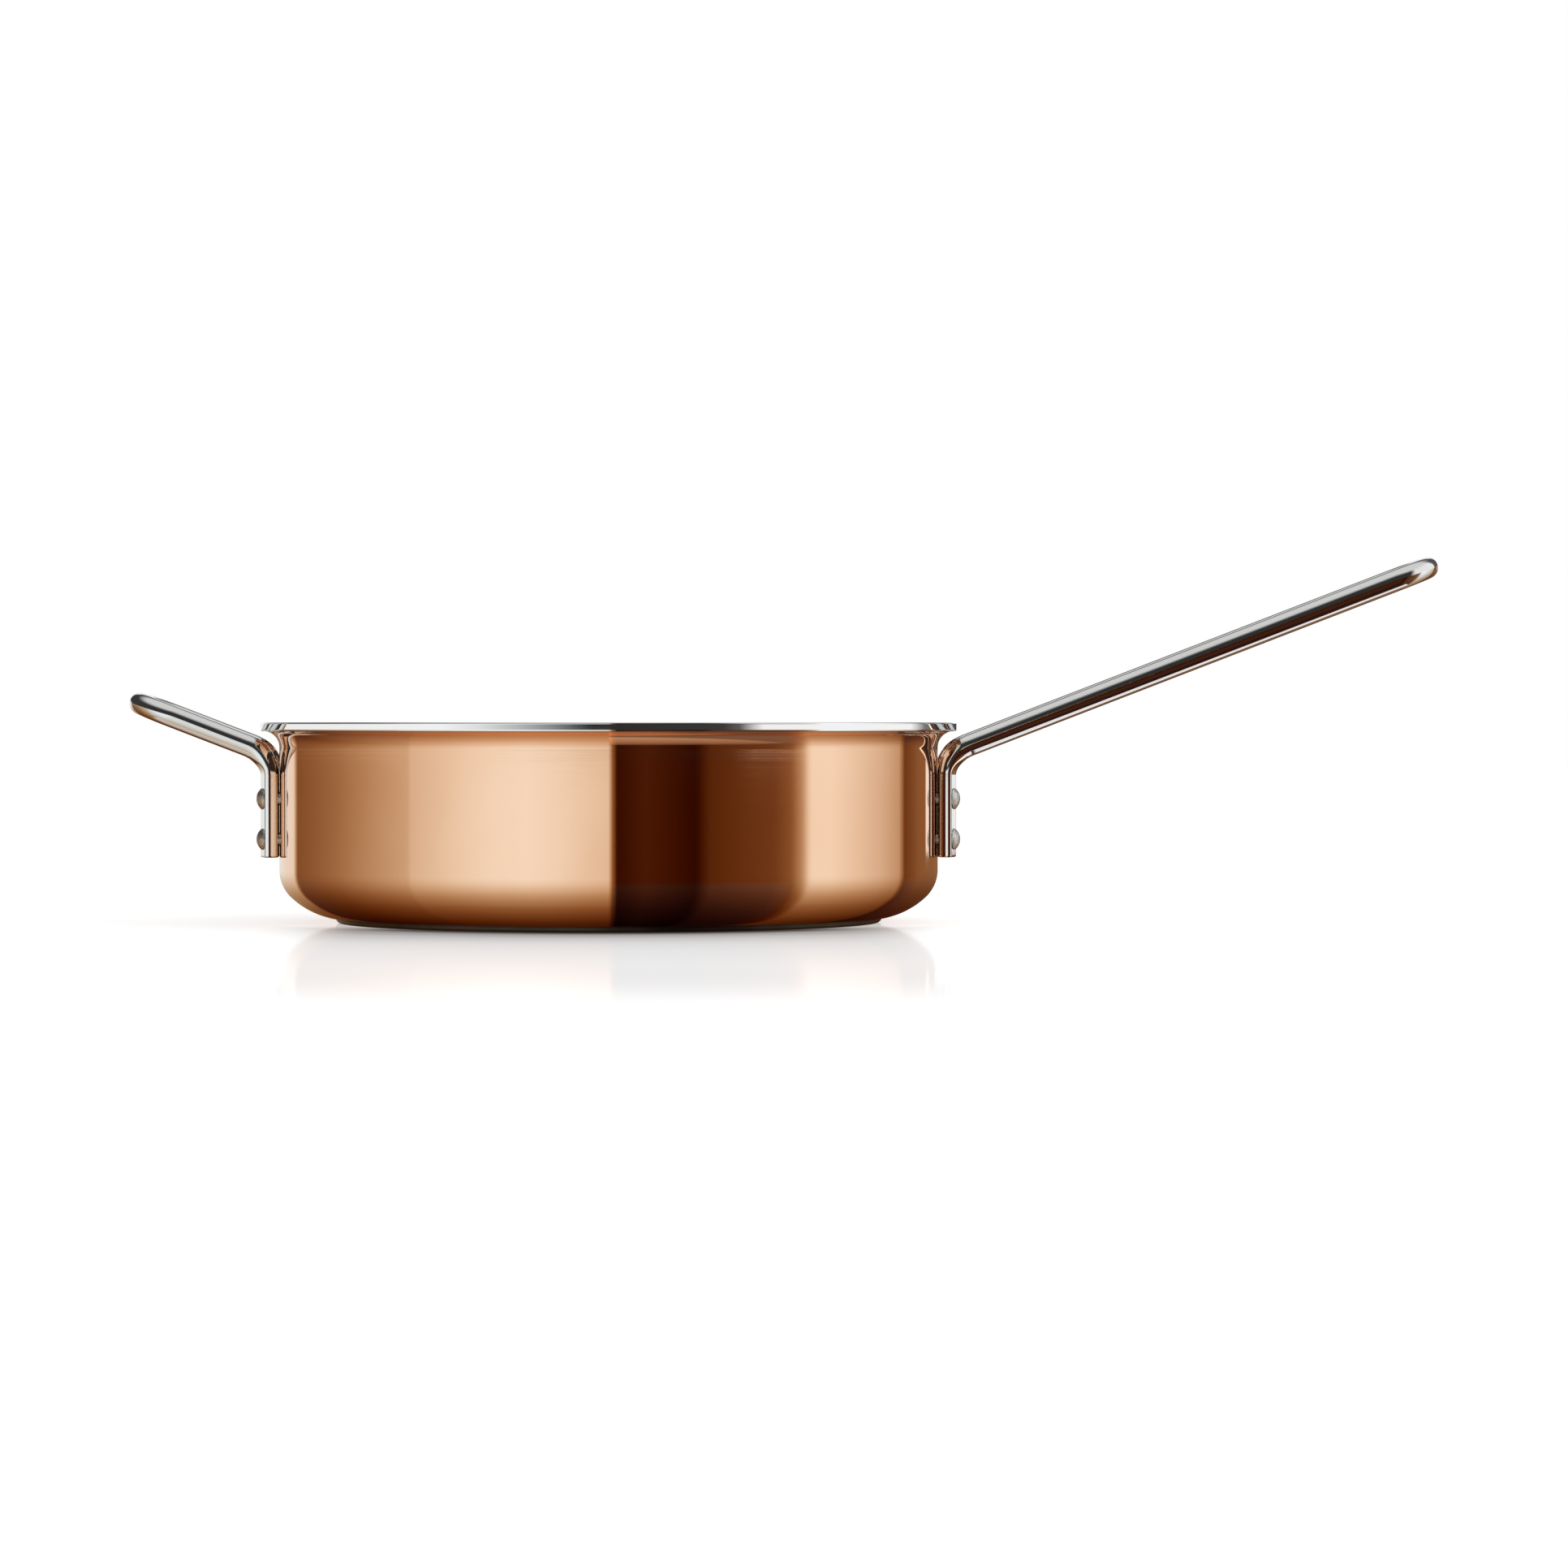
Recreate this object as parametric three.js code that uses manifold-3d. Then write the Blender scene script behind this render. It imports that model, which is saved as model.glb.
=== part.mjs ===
// Straight-sided copper pan with a flared rim, a long rod handle and a short rod helper handle.
// Millimetres, +Z up. The origin is the middle of the base plate's underside, and the long handle
// points to +X.

import * as THREE from 'three';
import { mergeVertices } from 'three/addons/utils/BufferGeometryUtils.js';
import Module from 'manifold-3d';

const { degToRad } = THREE.MathUtils;

// Pan body
const INNER_DIAMETER = 240;
const PAN_HEIGHT = 75;
const COPPER_THICKNESS = 0.5;
const CORE_THICKNESS = 2.3;
const LINING_THICKNESS = 0.5;
const BOND_LINE = 0.05;
const FLARE_RADIUS = 6.1;
const RIM_FLANGE = 0.9;
const RIM_EDGE_ROUNDING = 0.45;
const HEM_WIDTH = 3.3;
const CORNER_REACH = 25;
const CORNER_RISE = 18.4;
const CORNER_SIDE_RADIUS = 14;

// Base plate
const BASE_THICKNESS = 1.4;
const BASE_LIP = 4;
const BASE_BEVEL_WIDTH = 2;
const BASE_BEVEL_FOOT = 0.4;

// Rod handles
const ROD_DIAMETER = 8.2;
const ROD_SPACING = 28;
const HANDLE_RISE = degToRad(21.1);
const BEND_RADIUS = 12;
const BEND_CORNER_DROP = 11.55;
const LEG_LENGTH = 38.8;
const LEG_END_ROUNDING = 0.7;
const LONG_HANDLE_LENGTH = 188.4;
const HELPER_HANDLE_LENGTH = 56.3;

// Flat pressed into the outer side of each leg, where the rivets sit, turned a little away from the
// other leg
const PRESS_DEPTH = 2;
const PRESS_WIDENING = 1.2;
const PRESS_TILT = degToRad(11);
const PRESS_FULL_ANGLE = degToRad(3);
const PRESS_END_ANGLE = degToRad(55);

// Rivets
const RIVETS_PER_LEG = 2;
const RIVET_END_DISTANCE = 6.8;
const RIVET_PITCH = 15.1;
const SHANK_DIAMETER = 5;
const OUTER_HEAD_DIAMETER = 7.8;
const OUTER_HEAD_HEIGHT = 2.5;
const OUTER_HEAD_EDGE = 0.3;
const INNER_HEAD_DIAMETER = 9.6;
const INNER_HEAD_HEIGHT = 1.3;
const INNER_HEAD_EDGE = 0.35;

// Clearances
const SEAT_GAP = 0.1;
const HOLE_CLEARANCE = 0.3;

// Points closer than this are one point
const MERGE_DISTANCE = 1e-4;

// Facets
const TURNED_SEGMENTS = 48;
const RIVET_SEGMENTS = 12;
const CORNER_STEPS = 3;
const FLARE_STEPS = 3;
const HEM_STEPS = 1;
const ROUNDING_STEPS = 2;
const RIM_ROUNDING_STEPS = 1;
const INNER_DOME_STEPS = 2;
const OUTER_DOME_STEPS = 3;
const ROD_ARC_SIDES = 12;
const ROD_FLAT_SIDES = 4;
const PRESS_STEPS = 5;
const BEND_STEPS = 2;
const TIP_STEPS = 5;

// Sizes that follow from the ones above
const SHEET_THICKNESS = COPPER_THICKNESS + CORE_THICKNESS + LINING_THICKNESS;
const WALL_RADIUS = INNER_DIAMETER / 2 + SHEET_THICKNESS;
const RIM_RADIUS = WALL_RADIUS + FLARE_RADIUS + RIM_FLANGE;
const RIM_UNDERSIDE = PAN_HEIGHT - SHEET_THICKNESS;
const FLARE_CENTRE = new THREE.Vector2(WALL_RADIUS + FLARE_RADIUS, RIM_UNDERSIDE - FLARE_RADIUS);
const HEM_ANGLE = Math.acos((RIM_FLANGE - HEM_WIDTH) / FLARE_RADIUS);
const FLAT_RADIUS = WALL_RADIUS - CORNER_REACH;
const CORNER_BOTTOM_RADIUS = ((CORNER_REACH - CORNER_SIDE_RADIUS) ** 2 + CORNER_RISE ** 2
  - CORNER_SIDE_RADIUS ** 2) / (2 * (CORNER_RISE - CORNER_SIDE_RADIUS));
const CORNER_SIDE_CENTRE = new THREE.Vector2(
  WALL_RADIUS - CORNER_SIDE_RADIUS, BASE_THICKNESS + CORNER_RISE);
const CORNER_BOTTOM_CENTRE = new THREE.Vector2(FLAT_RADIUS, BASE_THICKNESS + CORNER_BOTTOM_RADIUS);
const CORNER_JOIN = CORNER_SIDE_CENTRE.clone().sub(CORNER_BOTTOM_CENTRE).angle() - 2 * Math.PI;

const FACET_SAG = INNER_DIAMETER / 2 * (1 - Math.cos(Math.PI / TURNED_SEGMENTS));

const ROD_RADIUS = ROD_DIAMETER / 2;
const HALF_SPACING = ROD_SPACING / 2;
const LEG_RADIUS = WALL_RADIUS + SEAT_GAP + ROD_RADIUS;
const LEG_X = Math.sqrt(LEG_RADIUS ** 2 - HALF_SPACING ** 2);
const LEG_ANGLE = Math.asin(HALF_SPACING / LEG_RADIUS);
const RIVET_SEAT_RADIUS = LEG_RADIUS + (ROD_RADIUS - PRESS_DEPTH) / Math.cos(PRESS_TILT) + SEAT_GAP;
const BEND_ANGLE = Math.PI / 2 - HANDLE_RISE;
const BEND_TANGENT = BEND_RADIUS * Math.tan(BEND_ANGLE / 2);
const BEND_CORNER_HEIGHT = PAN_HEIGHT - BEND_CORNER_DROP;
const LEG_BOTTOM_HEIGHT = BEND_CORNER_HEIGHT - LEG_LENGTH;
const FLAT_HALF_ANGLE = Math.acos((ROD_RADIUS - PRESS_DEPTH) / ROD_RADIUS);

const wasm = await Module();
wasm.setup();

// Finishes
const copper = { color: 0xc77b52, roughness: 0.12, metalness: 1 };
const aluminium = { color: 0xb9bcc0, roughness: 0.45, metalness: 1 };
const liningSteel = { color: 0xc9c9c8, roughness: 0.28, metalness: 1 };
const baseSteel = { color: 0x55544f, roughness: 0.5, metalness: 1 };
const rodSteel = { color: 0xcfcfcd, roughness: 0.1, metalness: 1 };
const rivetMetal = { color: 0xa3a19c, roughness: 0.42, metalness: 1 };

function piece(name, geometry, finish) {
  const mesh = new THREE.Mesh(geometry, new THREE.MeshStandardMaterial(finish));
  mesh.name = name;
  return mesh;
}

// Joining and cutting closed meshes

function toSolid(geometry) {
  const bare = geometry.clone();
  bare.deleteAttribute('normal');
  bare.deleteAttribute('uv');
  const merged = mergeVertices(bare, MERGE_DISTANCE);
  const index = merged.index.array;
  const triVerts = [];
  for (let i = 0; i < index.length; i += 3) {
    const [a, b, c] = index.slice(i, i + 3);
    if (a !== b && b !== c && c !== a) {
      triVerts.push(a, b, c);
    }
  }
  return new wasm.Manifold(new wasm.Mesh({
    numProp: 3,
    vertProperties: Float32Array.from(merged.attributes.position.array),
    triVerts: Uint32Array.from(triVerts),
  }));
}

function toGeometry(solid) {
  const mesh = solid.getMesh();
  const geometry = new THREE.BufferGeometry();
  geometry.setAttribute('position', new THREE.BufferAttribute(mesh.vertProperties, 3));
  geometry.setIndex(new THREE.BufferAttribute(mesh.triVerts, 1));
  return geometry;
}

function cut(geometry, tools) {
  return toGeometry(tools.reduce((solid, tool) => solid.subtract(toSolid(tool)), toSolid(geometry)));
}

// Angles from one to another in equal steps, both included.
function angles(from, to, steps) {
  return Array.from({ length: steps + 1 }, (_, i) => from + (to - from) * i / steps);
}

// Points on an arc of the radius and height plane, both ends included.
function arc(centre, radius, from, to, steps) {
  return angles(from, to, steps).map((angle) => (
    new THREE.Vector2(radius * Math.cos(angle), radius * Math.sin(angle)).add(centre)));
}

// A section turned about the vertical axis. It runs anticlockwise, with radius to the right.
function turned(section) {
  return new THREE.LatheGeometry(section, TURNED_SEGMENTS).rotateX(Math.PI / 2);
}

// The clad sheet at a depth below its outer face: flat bottom, two-arc corner and upright wall.
function sheetToFlare(depth) {
  return [
    new THREE.Vector2(0, BASE_THICKNESS + depth),
    ...arc(CORNER_BOTTOM_CENTRE, CORNER_BOTTOM_RADIUS - depth, -Math.PI / 2, CORNER_JOIN, CORNER_STEPS),
    ...arc(CORNER_SIDE_CENTRE, CORNER_SIDE_RADIUS - depth, CORNER_JOIN, 0, CORNER_STEPS).slice(1),
  ];
}

// The flare at the same depth, which turns the wall outwards, as far as the hem under the rim.
function flareToHem(depth) {
  return arc(FLARE_CENTRE, FLARE_RADIUS + depth, Math.PI, HEM_ANGLE, FLARE_STEPS);
}

// The rest of the flare, from the hem to the level rim.
function flareToRim(depth) {
  return arc(FLARE_CENTRE, FLARE_RADIUS + depth, HEM_ANGLE, Math.PI / 2, HEM_STEPS);
}

// The whole sheet at a depth, from the axis to the level rim.
function sheetToRim(depth) {
  return [...sheetToFlare(depth), ...flareToHem(depth), ...flareToRim(depth).slice(1)];
}

// Copper skin: the pan's outside, up to the hem under the rim.
function copperShell() {
  const outside = [...sheetToFlare(0), ...flareToHem(0)];
  const inside = [...sheetToFlare(COPPER_THICKNESS), ...flareToHem(COPPER_THICKNESS)];
  return turned([...outside, ...inside.reverse()]);
}

// Aluminium core: fills the sheet between the skins, out to just inside the rim's hem.
function aluminiumCore() {
  const low = COPPER_THICKNESS + BOND_LINE;
  const high = SHEET_THICKNESS - LINING_THICKNESS - BOND_LINE;
  const edge = RIM_RADIUS - LINING_THICKNESS - BOND_LINE;
  return turned([
    ...sheetToRim(low),
    new THREE.Vector2(edge, RIM_UNDERSIDE + low),
    new THREE.Vector2(edge, RIM_UNDERSIDE + high),
    ...sheetToRim(high).reverse(),
  ]);
}

// Steel lining: the pan's inside, folded over the rim and hemmed against the copper below it.
function steelLining() {
  const back = SHEET_THICKNESS - LINING_THICKNESS;
  const hemBack = RIM_RADIUS - LINING_THICKNESS;
  const rounding = RIM_EDGE_ROUNDING;
  const roundCentreX = RIM_RADIUS - rounding;
  const lowRound = new THREE.Vector2(roundCentreX, RIM_UNDERSIDE + rounding);
  const highRound = new THREE.Vector2(roundCentreX, PAN_HEIGHT - rounding);
  return turned([
    ...sheetToRim(back),
    new THREE.Vector2(hemBack, RIM_UNDERSIDE + back),
    new THREE.Vector2(hemBack, RIM_UNDERSIDE + LINING_THICKNESS),
    ...flareToRim(LINING_THICKNESS).reverse(),
    ...flareToRim(0),
    ...arc(lowRound, rounding, -Math.PI / 2, 0, RIM_ROUNDING_STEPS),
    ...arc(highRound, rounding, 0, Math.PI / 2, RIM_ROUNDING_STEPS),
    ...sheetToRim(SHEET_THICKNESS).reverse(),
  ]);
}

// Base plate: a steel disc on the copper's flat bottom, dished to its corner and bevelled at the edge.
function basePlate() {
  const radius = FLAT_RADIUS + BASE_LIP;
  const seatRadius = CORNER_BOTTOM_RADIUS + BOND_LINE;
  const edgeAngle = -Math.acos(BASE_LIP / seatRadius);
  return turned([
    new THREE.Vector2(0, 0),
    new THREE.Vector2(radius - BASE_BEVEL_WIDTH, 0),
    new THREE.Vector2(radius - BASE_BEVEL_WIDTH / 2, BASE_BEVEL_FOOT),
    ...arc(CORNER_BOTTOM_CENTRE, seatRadius, edgeAngle, -Math.PI / 2, ROUNDING_STEPS),
    new THREE.Vector2(0, BASE_THICKNESS - BOND_LINE),
  ]);
}

// Rivet frame on the wall: local Y runs outwards from the pan's axis.
function rivetPlacement(side, leg, height) {
  const heading = (side > 0 ? 0 : Math.PI) + side * leg * LEG_ANGLE;
  return new THREE.Matrix4().makeRotationZ(heading - Math.PI / 2).setPosition(0, 0, height);
}

// Section of a domed head on its seat, as radius and height: from the middle of the dome to its foot.
function dome(radius, height, edge, steps) {
  const rise = height - edge;
  const domeRadius = (radius ** 2 + rise ** 2) / (2 * rise);
  const centre = new THREE.Vector2(0, height - domeRadius);
  const spread = Math.asin(radius / domeRadius);
  return [
    ...arc(centre, domeRadius, Math.PI / 2, Math.PI / 2 - spread, steps),
    new THREE.Vector2(radius, 0),
  ];
}

// Rivet: a low dome inside the pan, a shank through wall and leg, and a high dome outside, which leans
// with the leg's flat.
function rivet(lean) {
  const shank = SHANK_DIAMETER / 2;
  const innerSeat = INNER_DIAMETER / 2 - FACET_SAG - SEAT_GAP;
  const inner = dome(INNER_HEAD_DIAMETER / 2, INNER_HEAD_HEIGHT, INNER_HEAD_EDGE, INNER_DOME_STEPS);
  const outer = dome(OUTER_HEAD_DIAMETER / 2, OUTER_HEAD_HEIGHT, OUTER_HEAD_EDGE, OUTER_DOME_STEPS);
  const geometry = new THREE.LatheGeometry([
    ...inner.map((p) => new THREE.Vector2(p.x, innerSeat - p.y)),
    new THREE.Vector2(shank, innerSeat),
    new THREE.Vector2(shank, RIVET_SEAT_RADIUS),
    ...outer.reverse().map((p) => new THREE.Vector2(p.x, RIVET_SEAT_RADIUS + p.y)),
  ], RIVET_SEGMENTS);
  const position = geometry.attributes.position;
  for (let i = 0; i < position.count; i += 1) {
    if (position.getY(i) > LEG_RADIUS) {
      position.setY(i, position.getY(i) + lean * position.getX(i));
    }
  }
  return geometry;
}

// Drill through wall and leg for one rivet.
function rivetDrill(placement) {
  const radius = SHANK_DIAMETER / 2 + HOLE_CLEARANCE;
  const start = INNER_DIAMETER / 2 - ROD_DIAMETER;
  const length = RIVET_SEAT_RADIUS + ROD_DIAMETER - start;
  const drill = new THREE.CylinderGeometry(radius, radius, length, RIVET_SEGMENTS);
  return drill.translate(0, start + length / 2, 0).applyMatrix4(placement);
}

// Rod section as offsets (outward, sideways): a circle, with a widened flat where it is pressed.
function rodSection(press, inset) {
  const radius = ROD_RADIUS - inset;
  const sideways = 1 + press * PRESS_WIDENING / ROD_DIAMETER;
  const flat = ROD_RADIUS - press * PRESS_DEPTH - inset;
  const centre = new THREE.Vector2();
  const back = arc(centre, radius, FLAT_HALF_ANGLE, 2 * Math.PI - FLAT_HALF_ANGLE, ROD_ARC_SIDES);
  const front = arc(centre, radius, -FLAT_HALF_ANGLE, FLAT_HALF_ANGLE, ROD_FLAT_SIDES);
  return [...back, ...front.slice(1, -1)].map((p) => (
    new THREE.Vector2(Math.min(p.x, flat), p.y * sideways)));
}

// Places along one half of a handle, from a leg's lower end to the middle of the tip. Each has a point,
// the direction of the rod, the outward direction of its section, and how far it is pressed and inset.
// The length is the handle's reach beyond the wall.
function handleStations(length) {
  const up = new THREE.Vector3(0, 0, 1);
  const bendAxis = new THREE.Vector3(0, 1, 0);
  const pressHeading = LEG_ANGLE + PRESS_TILT;
  const legOutward = new THREE.Vector3(Math.cos(pressHeading), -Math.sin(pressHeading), 0);
  const station = (point, turn, press, inset) => ({
    point,
    direction: up.clone().applyQuaternion(turn),
    outward: legOutward.clone().applyQuaternion(turn),
    press,
    inset,
  });

  const endCentre = new THREE.Vector2(LEG_END_ROUNDING, LEG_BOTTOM_HEIGHT + LEG_END_ROUNDING);
  const legEnd = arc(endCentre, LEG_END_ROUNDING, -Math.PI / 2, -Math.PI, ROUNDING_STEPS).map((p) => (
    station(new THREE.Vector3(LEG_X, -HALF_SPACING, p.y), new THREE.Quaternion(), 1, p.x)));

  const bendCentre = new THREE.Vector3(
    LEG_X + BEND_RADIUS, -HALF_SPACING, BEND_CORNER_HEIGHT - BEND_TANGENT);
  const bendAngles = [
    0,
    ...angles(PRESS_FULL_ANGLE, PRESS_END_ANGLE, PRESS_STEPS),
    ...angles(PRESS_END_ANGLE, BEND_ANGLE, BEND_STEPS).slice(1),
  ];
  const bend = bendAngles.map((angle) => {
    const turn = new THREE.Quaternion().setFromAxisAngle(bendAxis, angle);
    const point = new THREE.Vector3(-BEND_RADIUS, 0, 0).applyQuaternion(turn).add(bendCentre);
    const press = 1 - THREE.MathUtils.smoothstep(angle, PRESS_FULL_ANGLE, PRESS_END_ANGLE);
    return station(point, turn, press, 0);
  });

  const fullBend = new THREE.Quaternion().setFromAxisAngle(bendAxis, BEND_ANGLE);
  const slope = up.clone().applyQuaternion(fullBend);
  const tipAxis = new THREE.Vector3(-1, 0, 0).applyQuaternion(fullBend);
  const tipX = WALL_RADIUS + length - ROD_RADIUS;
  const tipHeight = BEND_CORNER_HEIGHT + (tipX - LEG_X) * Math.tan(HANDLE_RISE);
  const tipCentre = new THREE.Vector3(tipX, 0, tipHeight).addScaledVector(slope, -HALF_SPACING);
  const tip = angles(0, Math.PI / 2, TIP_STEPS).map((angle) => {
    const turn = new THREE.Quaternion().setFromAxisAngle(tipAxis, angle);
    const point = new THREE.Vector3(0, -HALF_SPACING, 0).applyQuaternion(turn).add(tipCentre);
    return station(point, turn.multiply(fullBend), 0, 0);
  });
  return [...legEnd, ...bend, ...tip];
}

// The rod's skin as rings of points, carried round both halves of the handle and closed at the leg ends.
function handle(length) {
  const half = handleStations(length).map(({ point, direction, outward, press, inset }) => {
    const sideways = direction.clone().cross(outward);
    return rodSection(press, inset).map((p) => (
      point.clone().addScaledVector(outward, p.x).addScaledVector(sideways, p.y)));
  });
  const mirrored = half.slice(0, -1).reverse().map((ring) => (
    ring.map((p) => new THREE.Vector3(p.x, -p.y, p.z))));
  const rings = [...half, ...mirrored];
  const sides = rings[0].length;
  const index = [];
  for (let i = 0; i + 1 < rings.length; i += 1) {
    for (let j = 0; j < sides; j += 1) {
      const a = i * sides + j;
      const b = i * sides + (j + 1) % sides;
      index.push(a, b, b + sides, a, b + sides, a + sides);
    }
  }
  const last = (rings.length - 1) * sides;
  for (let j = 1; j + 1 < sides; j += 1) {
    index.push(0, j + 1, j, last, last + j, last + j + 1);
  }
  const geometry = new THREE.BufferGeometry().setFromPoints(rings.flat());
  geometry.setIndex(index);
  return geometry;
}

// Assembly

const pan = new THREE.Group();
const handles = [
  { name: 'long_handle', side: 1, length: LONG_HANDLE_LENGTH },
  { name: 'helper_handle', side: -1, length: HELPER_HANDLE_LENGTH },
];
const legs = [-1, 1];
const drills = [];

for (const { name, side, length } of handles) {
  const bar = handle(length);
  if (side < 0) {
    bar.rotateZ(Math.PI);
  }
  const ownDrills = [];
  for (const leg of legs) {
    for (let row = 0; row < RIVETS_PER_LEG; row += 1) {
      const height = LEG_BOTTOM_HEIGHT + RIVET_END_DISTANCE + row * RIVET_PITCH;
      const placement = rivetPlacement(side, leg, height);
      ownDrills.push(rivetDrill(placement));
      const rivetName = `${name}_rivet_${leg < 0 ? 'near' : 'far'}_${row + 1}`;
      const fastener = piece(rivetName, rivet(side * leg * Math.tan(PRESS_TILT)), rivetMetal);
      fastener.applyMatrix4(placement);
      pan.add(fastener);
    }
  }
  drills.push(...ownDrills);
  pan.add(piece(name, cut(bar, ownDrills), rodSteel));
}

pan.add(piece('copper_shell', cut(copperShell(), drills), copper));
pan.add(piece('aluminium_core', cut(aluminiumCore(), drills), aluminium));
pan.add(piece('steel_lining', cut(steelLining(), drills), liningSteel));
pan.add(piece('base_plate', basePlate(), baseSteel));

export default pan;
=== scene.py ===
"""Straight-sided copper pan with two bent-rod handles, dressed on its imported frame.

Every surface is a profile turned about the pan's axis or carried along a rod's path, in metres.
+Z is up, and the long handle points to +X.
"""

import math

import bpy
import numpy as np
from bpy.props import FloatProperty, FloatVectorProperty, IntProperty, PointerProperty
from mathutils import Euler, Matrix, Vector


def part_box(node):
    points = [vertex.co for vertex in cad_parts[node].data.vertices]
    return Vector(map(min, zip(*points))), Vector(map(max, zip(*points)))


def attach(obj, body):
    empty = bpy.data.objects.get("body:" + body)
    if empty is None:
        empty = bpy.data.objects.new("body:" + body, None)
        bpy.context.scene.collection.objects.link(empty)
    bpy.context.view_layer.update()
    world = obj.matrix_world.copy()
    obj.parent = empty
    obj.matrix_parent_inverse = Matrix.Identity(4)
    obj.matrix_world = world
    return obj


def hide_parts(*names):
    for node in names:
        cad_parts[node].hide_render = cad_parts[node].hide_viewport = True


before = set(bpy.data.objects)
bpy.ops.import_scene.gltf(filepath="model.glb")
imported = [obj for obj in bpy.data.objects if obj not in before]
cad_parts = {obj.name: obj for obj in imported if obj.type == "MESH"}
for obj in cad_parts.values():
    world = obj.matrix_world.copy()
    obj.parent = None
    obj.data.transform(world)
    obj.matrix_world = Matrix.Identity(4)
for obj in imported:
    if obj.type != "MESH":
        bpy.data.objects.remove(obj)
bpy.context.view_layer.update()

bl_info = {
    "name": "Copper pan with rod handles",
    "version": (1, 0, 0),
    "blender": (4, 5, 0),
    "location": "View3D > Sidebar > Pan",
    "description": "Builds the surfaces, finishes and studio of a copper pan with rod handles",
    "category": "Object",
}

BODY = "root"
SHARP_ANGLE = math.radians(32)
# Distance of an added point from the end of a straight step.
SUPPORT = 0.0002

LINING_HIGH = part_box("steel_lining")[1]
COPPER_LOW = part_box("copper_shell")[0]
BASE_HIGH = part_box("base_plate")[1]
LONG_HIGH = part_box("long_handle")[1]
LONG_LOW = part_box("long_handle")[0]
HELPER_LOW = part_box("helper_handle")[0]

RIVET_NODES = {
    (side, leg, row): f"{'long' if side > 0 else 'helper'}_handle_rivet_"
    f"{'near' if leg < 0 else 'far'}_{row + 1}"
    for side in (1, -1)
    for leg in (-1, 1)
    for row in (0, 1)
}


def length(name, default, description):
    """A length in metres that a user can change."""
    return FloatProperty(
        name=name, description=description, default=default, min=0.0, unit="LENGTH", precision=5
    )


def angle(name, degrees, description):
    """An angle that a user can change, given in degrees."""
    return FloatProperty(
        name=name, description=description, default=math.radians(degrees), subtype="ANGLE"
    )


def colour(name, default, description):
    """A linear colour that a user can change."""
    return FloatVectorProperty(
        name=name,
        description=description,
        default=default,
        size=3,
        min=0.0,
        max=1.0,
        subtype="COLOR",
    )


class PanSizes(bpy.types.PropertyGroup):
    """Sizes of the pan's body and base plate."""

    rim_radius: length("Rim radius", LINING_HIGH.x, "Outer radius of the flared rim")
    height: length("Height", LINING_HIGH.z, "Top of the rim above the floor")
    base: length("Base thickness", COPPER_LOW.z, "Thickness of the base plate under the copper")
    sheet: length("Sheet", 0.0033, "Thickness of the whole clad sheet")
    skin: length("Skin", 0.0005, "Thickness of the copper skin and of the steel lining")
    bond: length("Bond line", 0.00005, "Gap that the bond between two layers fills")
    flare: length("Flare radius", 0.0061, "Radius of the flare under the rim")
    flange: length("Rim flange", 0.0009, "Level width of the rim beyond the flare")
    hem: length("Hem width", 0.0033, "Width of the lining's hem under the rim")
    edge: length("Edge rounding", 0.00045, "Rounding of the rim's edge")
    reach: length("Corner reach", 0.025, "Width of the rounded corner between wall and bottom")
    rise: length("Corner rise", 0.0184, "Height of the rounded corner")
    side: length("Corner side radius", 0.014, "Radius of the upper arc of the corner")
    base_radius: length("Base radius", BASE_HIGH.x, "Outer radius of the base plate")
    bevel: length("Base bevel", 0.002, "Width of the bevel under the base plate's edge")
    segments: IntProperty(
        name="Segments", description="Steps round the pan's axis", default=320, min=48, max=512
    )


class HandleSizes(bpy.types.PropertyGroup):
    """Sizes of the bent rods and of their pressed legs."""

    rod: length("Rod diameter", 0.0082, "Diameter of the round rod")
    spacing: length("Rod spacing", 0.028, "Distance between the two runs of a handle")
    rise: angle("Rise", 21.1, "Slope of the handles above level")
    bend: length("Bend radius", 0.012, "Radius of the bend at the top of a leg")
    drop: length("Corner drop", 0.0116, "Depth of the bend's corner below the rim")
    leg_low: length("Leg end height", LONG_LOW.z, "Height of the legs' lower ends")
    rounding: length("End rounding", 0.0007, "Rounding of the legs' lower ends")
    seat: length("Seat gap", 0.0001, "Gap between a leg and the wall")
    long_reach: length("Long reach", LONG_HIGH.x, "Reach of the long handle from the pan's axis")
    helper_reach: length("Helper reach", -HELPER_LOW.x, "Reach of the helper handle from the axis")
    press: length("Press depth", 0.002, "Depth of the flat pressed into a leg")
    widening: length("Press widening", 0.0012, "How much wider a leg is where it is pressed")
    tilt: angle("Press tilt", 11.0, "Turn of a leg's flat away from the other leg")
    press_full: angle("Press full", 3.0, "Angle of the bend up to which the flat is full")
    press_end: angle("Press end", 55.0, "Angle of the bend where the flat has run out")


class RivetSizes(bpy.types.PropertyGroup):
    """Sizes of the rivets that hold the legs to the wall."""

    first: length("End distance", 0.0068, "First rivet above a leg's lower end")
    pitch: length("Pitch", 0.0151, "Distance between the rivets of a leg")
    shank: length("Shank diameter", 0.005, "Diameter of the shank")
    head: length("Outer head diameter", 0.0078, "Diameter of the domed outer head")
    head_height: length("Outer head height", 0.0021, "Height of the outer head above its seat")
    head_edge: length("Outer head edge", 0.0003, "Height of the outer head's upright edge")
    inner: length("Inner head diameter", 0.0096, "Diameter of the low head inside the pan")
    inner_height: length("Inner head height", 0.0013, "Height of the low head inside the pan")
    inner_edge: length("Inner head edge", 0.00035, "Height of the low head's upright edge")


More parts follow.
